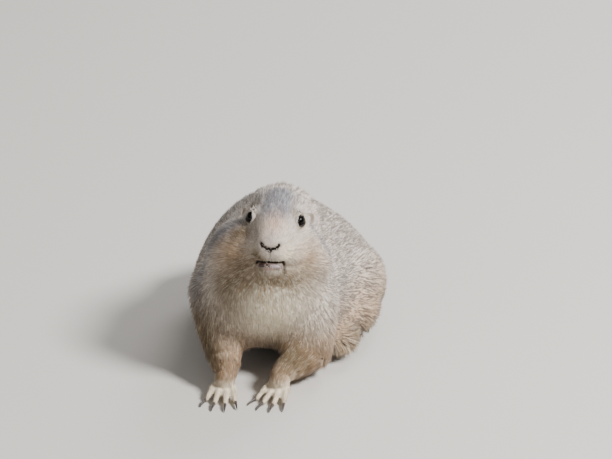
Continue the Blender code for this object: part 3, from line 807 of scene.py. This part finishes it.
def coat_sizes(p):
    """Length, width and number of tufts a square millimetre at points p."""
    h = to_head(p)
    from_nose = np.linalg.norm(h - np.array((0, 0, -4)), axis=1)
    stops = (0, 8, 20, 34, 48, 66)
    length = np.interp(from_nose, stops, (1.3, 2.1, 3.4, 5.0, 7.0, 10.0))
    width = np.interp(from_nose, stops, (0.28, 0.34, 0.42, 0.48, 0.54, 0.60))
    many = np.interp(from_nose, stops, (6.5, 5.5, 3.8, 2.9, 2.4, 2.15))
    front = near(p, (14, 4, 62), (34, 30, 30))
    length = length + 3.0 * front * ramp(60, 72, from_nose)
    for name in ("right", "left"):
        gap, _, share = along_path(p, ARMS[name])
        w = ramp(21, 12, gap) * ramp(0.05, 0.5, share)
        down_leg = (0, 0.3, 0.5, 0.75, 1)
        length = length * (1 - w) + w * np.interp(share, down_leg, (10, 9.0, 6.8, 3.2, 1.3))
        width = width * (1 - w) + w * np.interp(share, down_leg, (0.6, 0.58, 0.5, 0.36, 0.26))
        many = many * (1 - w) + w * np.interp(share, down_leg, (2.1, 2.2, 2.8, 4.2, 5.0))
        gap, _, share = along_path(p, FEET[name])
        w = ramp(13, 9, gap) * ramp(14, 9, p[:, 2])
        length = length * (1 - w) + w * 1.9
        width = width * (1 - w) + w * 0.34
        many = many * (1 - w) + w * 4.0
    gap, _, share = along_path(p, tail_path())
    w = ramp(0.10, 0.24, share) * ramp(18, 14, gap)
    length = length * (1 - w) + w * np.interp(share, (0.65, 0.95), (9.0, 3.5))
    width = width * (1 - w) + w * 0.6
    many = many * (1 - w) + w * 2.2
    for side in (-1, 1):
        away = np.linalg.norm(h - EAR_PLACE * (side, 1, 1), axis=1)
        short = ramp(15, 7, away)
        length = length * (1 - short) + 2.0 * short
        width = width * (1 - 0.4 * short)
        many = many * (1 + 0.6 * short)
        away = np.linalg.norm(h - EYE_PLACE * (side, 1, 1), axis=1)
        length = length * (1 - 0.5 * ramp(12, 7, away))
    under = ramp(9, 4, p[:, 2])
    return length, width, many * (1 - 0.5 * under)


def bare_places(p):
    """0 where no hair grows: the nose, the line of the mouth, the eyes and the soles."""
    h = to_head(p)
    keep = np.ones(len(p))
    keep *= ramp(1.0, 2.0, mouth_gap(h))
    keep *= ramp(1.02, 1.65, nostril_gap(h))
    keep *= 1 - near(h, (-1, 4, -16.0), (7.5, 6, 2.2))
    for side in (-1, 1):
        place = EYE_PLACE * (side, 1, 1)
        keep *= ramp(6.0, 6.8, np.linalg.norm(h - place, axis=1))
        ear = EAR_PLACE * (side, 1, 1) + np.array((0, 0, -1.0))
        keep *= ramp(2.6, 4.4, np.linalg.norm((h - ear) / (1.0, 1.0, 1.5), axis=1))
    keep *= ramp(0.6, 1.6, p[:, 2])
    return keep


COAT_PIECES = (
    "head",
    "breast",
    "shoulder_right",
    "shoulder_left",
    "flank_right",
    "flank_left",
    "forelegs",
    "tail_and_hind_feet",
    "rump_right",
    "rump_left",
)


def region_of(p):
    """Which piece of the coat points p belong to, as its place in the list."""
    h = to_head(p)
    heading, share = along_spine(p)
    middle = spine_at(share)
    left = (p[:, 0] - middle[:, 0]) * heading[:, 1] - (p[:, 1] - middle[:, 1]) * heading[:, 0] > 0
    number = COAT_PIECES.index
    region = np.where(left, number("shoulder_left"), number("shoulder_right"))
    region = np.where(share > 0.48, np.where(left, number("flank_left"), number("flank_right")), region)
    region = np.where(share > 0.74, np.where(left, number("rump_left"), number("rump_right")), region)
    region = np.where(share < 0.2, number("breast"), region)
    region = np.where((h[:, 1] < 62) & (h[:, 2] > -34), number("head"), region)
    gap, _, along = along_path(p, tail_path())
    region = np.where((along > 0.17) & (gap < 18), number("tail_and_hind_feet"), region)
    for name in ("right", "left"):
        gap, _, along = along_path(p, ARMS[name])
        leg = (gap < 20) & (along > 0.3) & (p[:, 2] < 30) & (p[:, 1] < 34)
        region = np.where(leg, number("forelegs"), region)
        gap, _, _ = along_path(p, FEET[name])
        region = np.where((gap < 13) & (p[:, 2] < 11), number("tail_and_hind_feet"), region)
    return region


def unwrapped(p, tris):
    """An unwrap of a stretch of the skin by its own shape: a place on the map for each corner."""
    mesh = mesh_from("stretch", p, tris)
    obj = bpy.data.objects.new("stretch", mesh)
    bpy.context.scene.collection.objects.link(obj)
    mesh.uv_layers.new(name="map")
    bpy.context.view_layer.objects.active = obj
    obj.select_set(True)
    bpy.ops.object.mode_set(mode="EDIT")
    bpy.ops.mesh.select_all(action="SELECT")
    bpy.ops.uv.smart_project(angle_limit=radians(66), island_margin=0.004)
    bpy.ops.object.mode_set(mode="OBJECT")
    uv = np.empty(len(mesh.loops) * 2, np.float32)
    mesh.uv_layers["map"].data.foreach_get("uv", uv)
    bpy.data.objects.remove(obj)
    bpy.data.meshes.remove(mesh)
    return uv.reshape(-1, 3, 2).astype(float)


def scattered(tris, many, rng):
    """Roots on the skin, evenly by area: the triangle and the place in it."""
    a, b, c = (skin_p[tris[:, k]] for k in range(3))
    area = np.linalg.norm(np.cross(b - a, c - a), axis=1) / 2
    total = np.cumsum(area * many)
    count = int(total[-1])
    spots = (np.arange(count) + rng.random(count)) * total[-1] / count
    which = np.minimum(np.searchsorted(total, spots), len(tris) - 1)
    r = np.sqrt(rng.random(count))
    s = rng.random(count)
    return which, np.stack([1 - r, r * (1 - s), r * s], 1)


def gathered(root, tip, rng, share):
    """Tips drawn together in locks, each towards the tip of one leading tuft."""
    leaders = rng.choice(len(root), max(4, len(root) // 9), replace=False)
    tree = KDTree(len(leaders))
    for i, k in enumerate(leaders):
        tree.insert(root[k], i)
    tree.balance()
    mine = leaders[np.array([tree.find(r)[1] for r in root])]
    goal = tip[mine] + (root - root[mine]) * 0.35
    return tip + (goal - tip) * share[:, None], rng.random(len(root))[mine]


def grow_coat(region, material, seed):
    """One piece of the coat: closed tufts of five points, rooted on the skin."""
    rng = np.random.default_rng(seed)
    name = COAT_PIECES[region]
    centre = skin_p[skin_tris].mean(1)
    inside = region_of(centre) == region
    tris = skin_tris[inside]
    centre = centre[inside]
    _, _, many = coat_sizes(centre)
    uv = unwrapped(*compact(skin_p, tris))
    which, bary = scattered(tris, many * bare_places(centre) * DENSITY, rng)
    corner = tris[which]
    root = (skin_p[corner] * bary[..., None]).sum(1)
    n = unit((skin_n[corner] * bary[..., None]).sum(1))
    spot = (uv[which] * bary[..., None]).sum(1)
    keep = bare_places(root) > rng.random(len(root)) * 0.6
    root, n, spot = root[keep], n[keep], spot[keep]
    count = len(root)
    length, width, _ = coat_sizes(root)
    depth = coat_depth(root)
    length = length * rng.uniform(0.8, 1.25, count)
    width = width * rng.uniform(0.7, 1.25, count)
    tone = rng.random(count)
    guard = tone > 0.87
    lift = depth * np.where(guard, 1.0, rng.uniform(0.5, 0.85, count))
    length = length * np.where(guard, 1.25, 1.0)
    width = width * np.where(guard, 0.7, 1.0)
    way = lie_of_coat(root, n)
    side = np.cross(n, way)
    x, y, z = root.T
    wander = 0.07 * np.sin(x * 0.31 + z * 0.23) * np.cos(y * 0.27) + rng.normal(0, 0.10, count)
    way = unit(way + side * wander[:, None])
    side = np.cross(n, way)
    tip = root + way * length[:, None] + n * lift[:, None]
    tip, lock = gathered(root, tip, rng, np.clip((length - 3.0) / 32, 0, 0.18))
    middle = root + (tip - root) * 0.42 + n * (lift * 0.36)[:, None]
    base = root - n * 0.3
    half = side * width[:, None] * 0.5
    thick = n * (width * 0.35)[:, None]
    p = np.stack([base, middle - half, middle + half, middle + thick, tip], 1)
    p[:, :, 2] = np.maximum(p[:, :, 2], 0.15)
    faces = np.array([(0, 2, 1), (0, 3, 2), (0, 1, 3), (4, 1, 2), (4, 2, 3), (4, 3, 1)])
    corners = p.shape[1]
    all_faces = (faces[None] + (np.arange(count) * corners)[:, None, None]).reshape(-1, 3)
    mesh = mesh_from("coat_" + name, p.reshape(-1, 3), all_faces)
    soft = np.stack([n - 0.2 * way, n - 0.45 * side, n + 0.45 * side, n, n + 0.35 * way], 1)
    mesh.normals_split_custom_set_from_vertices(unit(soft).reshape(-1, 3))
    share = np.array((0, 0.5, 0.5, 0.5, 1.0))
    across = np.array((0, -1, 1, 0, 0))
    give(mesh, "along", np.tile(share, count))
    give(mesh, "tuft_tone", np.repeat(tone, corners))
    give(mesh, "lock_tone", np.repeat(lock, corners))
    give(mesh, "root_at", np.repeat(root, corners, 0))
    mark(mesh, root, corners)
    patch = np.stack([across * 0.0011, share * 0.003 - 0.0015], 1)
    place = np.clip(spot, 0.002, 0.998)[:, None] + patch[None]
    layer = mesh.uv_layers.new(name="OFBake")
    layer.data.foreach_set("uv", place.reshape(-1, 2)[all_faces.ravel()].astype(np.float32).ravel())
    return piece("coat_" + name, mesh, material)


def compact(p, tris):
    """Only the points that the triangles use."""
    used, index = np.unique(tris, return_inverse=True)
    return p[used], index.reshape(-1, 3)


coat_look = coat_material()
for number in range(len(COAT_PIECES)):
    grow_coat(number, coat_look, 40 + number)


# Eyes and lids


def basis(way):
    """Two directions square to a way: across and up."""
    across = unit(np.cross(way, (0, 0, 1)))
    return across, np.cross(across, way)


def grid_faces(rows, columns):
    """Quads of a grid of points, whose last column meets the first."""
    out = []
    for i in range(rows - 1):
        for j in range(columns):
            k = (j + 1) % columns
            out.append((i * columns + j, i * columns + k, (i + 1) * columns + k, (i + 1) * columns + j))
    return out


def turned_out(mesh, capped=False):
    """Merges doubles, turns the faces outwards and smooths them, after closing the ends if asked."""
    bm = bmesh.new()
    bm.from_mesh(mesh)
    if capped:
        bmesh.ops.holes_fill(bm, edges=[e for e in bm.edges if e.is_boundary], sides=0)
    bmesh.ops.remove_doubles(bm, verts=bm.verts, dist=1e-7)
    bmesh.ops.recalc_face_normals(bm, faces=bm.faces)
    bm.to_mesh(mesh)
    bm.free()
    for f in mesh.polygons:
        f.use_smooth = True


def make_eye(side, name, material):
    way = EYE_WAY * (side, 1, 1)
    across, up = basis(way)
    centre = EYE_PLACE * (side, 1, 1)
    rows, columns = 25, 40
    points, marks = [], []
    for i in range(rows):
        a = pi * i / (rows - 1)
        bulge = EYE_RADIUS * (1 + 0.05 * max(0.0, cos(a)) ** 6)
        for j in range(columns):
            b = 2 * pi * j / columns
            points.append(centre + (way * cos(a) + (across * cos(b) + up * sin(b)) * sin(a)) * bulge)
            marks.append((cos(a), 0, 0))
    mesh = mesh_from("eyeball_" + name, from_head(np.array(points)), grid_faces(rows, columns))
    give(mesh, "eye_marks", np.array(marks))
    turned_out(mesh)
    return piece("eyeball_" + name, mesh, material, ["eye_" + name])


def lid_opening(b):
    """How far the lids open from the middle of the eye, for each way round: pointed at the corners."""
    middle = max(radians(38 if sin(b) > 0 else 36) * abs(sin(b)), 1e-3)
    corner = radians(54) ** -3 * abs(cos(b)) ** 3
    return (corner + middle**-3 * abs(sin(b)) ** 6) ** (-1 / 3)


def make_lids(side, name, material):
    """Both lids as one dome over the eyeball, with an opening that is pointed at its corners."""
    way = EYE_WAY * (side, 1, 1)
    across, up = basis(way)
    lean = radians(-20 * side)
    across, up = across * cos(lean) + up * sin(lean), up * cos(lean) - across * sin(lean)
    centre = EYE_PLACE * (side, 1, 1)
    steps, columns = 9, 72
    points, marks = [], []
    for over in (True, False):
        for i in range(steps) if over else reversed(range(steps)):
            s = i / (steps - 1)
            reach = EYE_RADIUS + 0.06
            if over:
                reach = EYE_RADIUS + 0.45 + 0.65 * sin(pi * min(1.0, s * 1.3)) - 0.7 * s * s
            for j in range(columns):
                b = 2 * pi * j / columns
                opening = lid_opening(b)
                tilt = opening + (radians(92) - opening) * s
                outwards = across * cos(b) + up * sin(b)
                points.append(centre + (way * cos(tilt) + outwards * sin(tilt)) * reach)
                marks.append((1 - s if over else 1.0, 0, 0))
    faces = grid_faces(2 * steps, columns)
    last = (2 * steps - 1) * columns
    for j in range(columns):
        k = (j + 1) % columns
        faces.append((last + j, last + k, k, j))
    mesh = mesh_from("lids_" + name, from_head(np.array(points)), faces)
    give(mesh, "lid_marks", np.array(marks))
    turned_out(mesh)
    return piece("lids_" + name, mesh, material)


eye_look, lid_look = eye_material(), lid_material()
for side, name in ((-1, "right"), (1, "left")):
    make_eye(side, name, eye_look)
    make_lids(side, name, lid_look)


# Lower lip and ears


def make_lip():
    """The lower lip, a soft roll under the line of the mouth."""
    path = np.array(
        (
            (-8.6, 8.6, -18.4),
            (-7.8, 5.6, -16.0),
            (-5.6, 4.1, -15.2),
            (0, 3.4, -15.0),
            (5.6, 4.1, -15.2),
            (8.8, 5.4, -15.6),
            (9.5, 8.2, -17.8),
        )
    )
    steps, columns = 41, 18
    t = np.linspace(0, 1, steps)
    line = np.stack([np.interp(t, np.linspace(0, 1, len(path)), path[:, k]) for k in range(3)], 1)
    for _ in range(6):
        line[1:-1] = (line[:-2] + line[2:] + 2 * line[1:-1]) / 4
    points, marks = [], []
    for i in range(steps):
        swell = max(0.03, sin(pi * t[i]) ** 0.45)
        for j in range(columns):
            b = 2 * pi * j / columns
            points.append(line[i] + np.array((0, -cos(b) * 1.3 * swell, sin(b) * 1.5 * swell)))
            dark = min(1.0, 1.3 * abs(2 * t[i] - 1) ** 2.5 + 0.8 * max(0.0, sin(b)) ** 6)
            marks.append((dark, ramp(0.68, 0.46, t[i]), 0))
    mesh = mesh_from("lower_lip", from_head(np.array(points)), grid_faces(steps, columns))
    give(mesh, "lip_marks", np.array(marks))
    turned_out(mesh, capped=True)
    return piece("lower_lip", mesh, lip_material())


def make_ear(side, name, material):
    """A low rounded ear: a thick curved rim round a shallow cup."""
    turn = Euler((radians(-24), radians(side * 26), radians(side * 30)))
    own = np.array(turn.to_matrix())
    centre = EAR_PLACE * (side, 1, 1) + own @ np.array((side * 0.6, -1.0, -0.6))
    rows, columns = 22, 48
    points, marks = [], []
    for i in range(rows):
        s = i / (rows - 1)
        for j in range(columns):
            b = 2 * pi * j / columns
            wide, tall = 3.3, 5.2
            if s < 0.5:
                reach = s / 0.5
                deep = 2.6 * (1 - reach**2.2)
                scale = reach * 0.86
            else:
                reach = (s - 0.5) / 0.5
                deep = -0.55 * sin(pi * min(1, reach * 2)) + 4.4 * reach**1.6
                scale = 0.86 + 0.20 * sin(pi * min(1, reach * 1.5) / 2) - 0.3 * reach**3
            spot = np.array((cos(b) * wide * scale, deep, sin(b) * tall * scale))
            points.append(centre + own @ spot)
            marks.append((ramp(0.85, 0.35, scale if s < 0.5 else 1.0), 0, 0))
    mesh = mesh_from("ear_shell_" + name, from_head(np.array(points)), grid_faces(rows, columns))
    give(mesh, "ear_marks", np.array(marks, float))
    turned_out(mesh, capped=True)
    return piece("ear_shell_" + name, mesh, material)


make_lip()
ear_look = ear_material()
for side, name in ((-1, "right"), (1, "left")):
    make_ear(side, name, ear_look)


# Claws


def make_claws(prefix, material):
    """The solids' claws, rounded."""
    names = [n for n in sorted(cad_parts) if n.startswith(prefix)]
    whole = bmesh.new()
    for n in names:
        whole.from_mesh(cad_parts[n].data)
    bmesh.ops.remove_doubles(whole, verts=whole.verts, dist=2e-6)
    mesh = bpy.data.meshes.new(prefix)
    whole.to_mesh(mesh)
    whole.free()
    obj = piece(prefix + "s", mesh, material, names)
    for f in mesh.polygons:
        f.use_smooth = True
    round_off = obj.modifiers.new("round", "SUBSURF")
    round_off.levels = 1
    round_off.render_levels = 1
    return obj


claw_look = claw_material()
for prefix in ("claw_fore_left", "claw_fore_right", "claw_hind_left", "claw_hind_right"):
    make_claws(prefix, claw_look)


# Whiskers


def make_whiskers():
    rng = np.random.default_rng(7)
    points, faces = [], []
    sides, steps = 4, 9
    for side in (-1, 1):
        for k in range(14):
            row, place = divmod(k, 5)
            start = np.array((side * (8.2 + place * 1.6), 4.6 + place * 2.0, -3.4 - row * 2.6))
            reach = rng.uniform(12, 22)
            way = unit(np.array((side * 0.92, 0.28 + 0.08 * place, 0.05 - 0.18 * row)))
            sag = rng.uniform(1.5, 4.0)
            first = len(points)
            for i in range(steps):
                t = i / (steps - 1)
                spot = start + way * reach * t + np.array((0, 3.5 * t * t, -sag * t * t))
                thick = 0.19 * (1 - 0.85 * t)
                for j in range(sides):
                    b = 2 * pi * j / sides
                    points.append(spot + np.array((0, cos(b), sin(b))) * thick)
            for i in range(steps - 1):
                for j in range(sides):
                    m = (j + 1) % sides
                    a, c = first + i * sides, first + (i + 1) * sides
                    faces.append((a + j, a + m, c + m, c + j))
            end = first + (steps - 1) * sides
            faces.append((first + 3, first + 2, first + 1, first))
            faces.append((end, end + 1, end + 2, end + 3))
    mesh = mesh_from("whiskers", from_head(np.array(points)), faces)
    turned_out(mesh)
    return piece("whiskers", mesh, whisker_material())


make_whiskers()


# Camera, light and floor


def look_at(obj, target):
    obj.rotation_euler = (Vector(target) - obj.location).to_track_quat("-Z", "Y").to_euler()


VIEW_DOWN = radians(24)
view = Vector((0, cos(VIEW_DOWN), -sin(VIEW_DOWN)))
lift = Vector((0, sin(VIEW_DOWN), cos(VIEW_DOWN)))
aim = Vector(ORIGIN) + Vector((0.04125, 0, 0)) + lift * 0.121875
camera = bpy.data.objects.new("camera", bpy.data.cameras.new("camera"))
bpy.context.scene.collection.objects.link(camera)
camera.location = aim - view * 2.2
camera.data.lens = 172.5
camera.data.sensor_width = 36
camera.data.clip_start = 0.05
look_at(camera, aim)
bpy.context.scene.camera = camera


def add_light(name, place, size, power, colour):
    lamp = bpy.data.lights.new(name, "AREA")
    lamp.shape = "DISK"
    lamp.size = size
    lamp.energy = power
    lamp.color = colour
    obj = bpy.data.objects.new(name, lamp)
    bpy.context.scene.collection.objects.link(obj)
    obj.location = place
    look_at(obj, (0, -0.05, 0.07))


add_light("key", (1.5, -0.8, 1.7), 0.6, 112, (1.0, 0.98, 0.95))
add_light("fill", (-1.4, -1.4, 0.9), 1.6, 4, (1.0, 0.97, 0.94))
add_light("back", (0.8, 1.6, 1.5), 1.2, 30, (1.0, 1.0, 1.0))

world = bpy.data.worlds.new("studio")
world.use_nodes = True
world.node_tree.nodes["Background"].inputs["Color"].default_value = (0.93, 0.91, 0.88, 1)
world.node_tree.nodes["Background"].inputs["Strength"].default_value = 0.36
bpy.context.scene.world = world

floor_mesh = bpy.data.meshes.new("floor")
reach = 4.0
corners = [(-reach, -reach, 0), (reach, -reach, 0), (reach, reach, 0), (-reach, reach, 0)]
floor_mesh.from_pydata(corners, [], [(0, 1, 2, 3)])
floor = bpy.data.objects.new("floor", floor_mesh)
bpy.context.scene.collection.objects.link(floor)
floor_shop = Shop("studio_floor", roughness=0.9, specular=0.1)
floor_shop.shader.inputs["Base Color"].default_value = (0.62, 0.60, 0.57, 1)
floor_mesh.materials.append(floor_shop.material)

bpy.context.view_layer.update()
